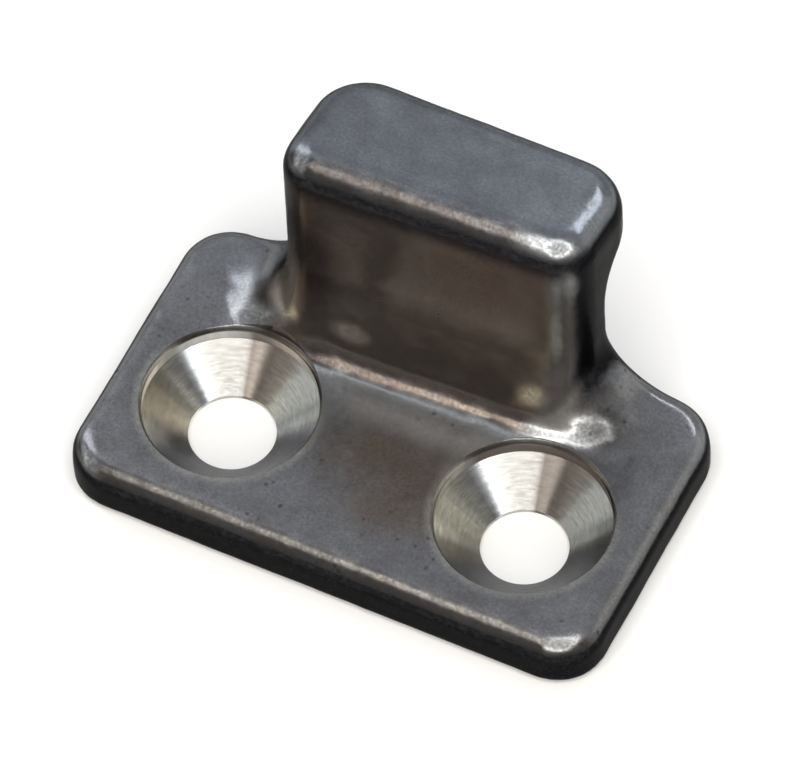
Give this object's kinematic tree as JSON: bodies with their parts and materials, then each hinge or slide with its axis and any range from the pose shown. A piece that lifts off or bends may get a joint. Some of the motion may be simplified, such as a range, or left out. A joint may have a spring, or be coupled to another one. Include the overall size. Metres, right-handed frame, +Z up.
{
  "type": "door strike plate",
  "caption": "Cast strike plate: a flat rounded base with countersunk screw holes and an upright hooked block along its rear edge, flared into the base.",
  "frame": {"origin": "midway between the two screw holes, on the flat seating face under the base", "axes": "+X along the base, +Y towards the upright block, +Z up off the surface it is screwed to"},
  "size_m": [0.0298, 0.0208, 0.0165],
  "materials": {
    "cast_metal": "dark semi-gloss tumbled casting skin; the screw recesses are turned bright"
  },
  "bodies": {
    "root": {"strike_plate": "cast_metal"}
  },
  "joints": []
}
